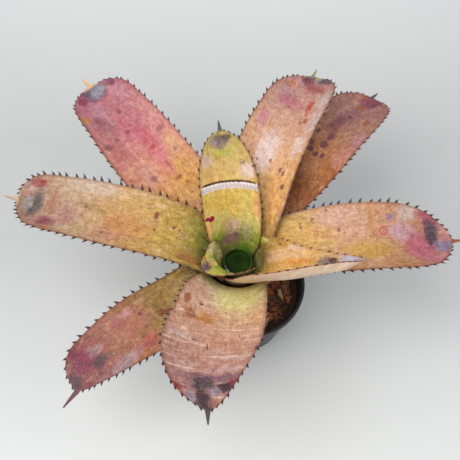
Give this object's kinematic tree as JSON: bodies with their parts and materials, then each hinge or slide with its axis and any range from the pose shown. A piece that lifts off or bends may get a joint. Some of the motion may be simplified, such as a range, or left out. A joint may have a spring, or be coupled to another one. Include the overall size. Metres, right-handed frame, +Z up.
{
  "type": "potted bromeliad",
  "caption": "Tank bromeliad: a rosette of stiff strap leaves with spiny margins round a water-holding cup, rooted in bark mix in a small tapered nursery pot.",
  "frame": {"origin": "centre of the pot's flat base, on the surface that it stands on", "axes": "+Z up out of the pot; +Y away from the viewer of the picture and +X to the viewer's right"},
  "size_m": [0.3658, 0.3135, 0.2249],
  "materials": {
    "pot_plastic": "satin",
    "bark_mix": "matte",
    "stem_tissue": "matte",
    "leaf_old": "satin",
    "leaf_ripe": "satin",
    "leaf_young": "satin",
    "tank_water": "gloss"
  },
  "bodies": {
    "root": {"pot": "pot_plastic", "potting_mix": "bark_mix", "stem": "stem_tissue", "leaf_01": "leaf_old", "leaf_02": "leaf_old", "leaf_03": "leaf_ripe", "leaf_04": "leaf_old", "leaf_05": "leaf_ripe", "leaf_06": "leaf_ripe", "leaf_07": "leaf_ripe", "leaf_08": "leaf_young", "leaf_09": "leaf_young", "leaf_10": "leaf_young", "inner_leaf": "leaf_young", "tank_water": "tank_water"}
  },
  "joints": []
}
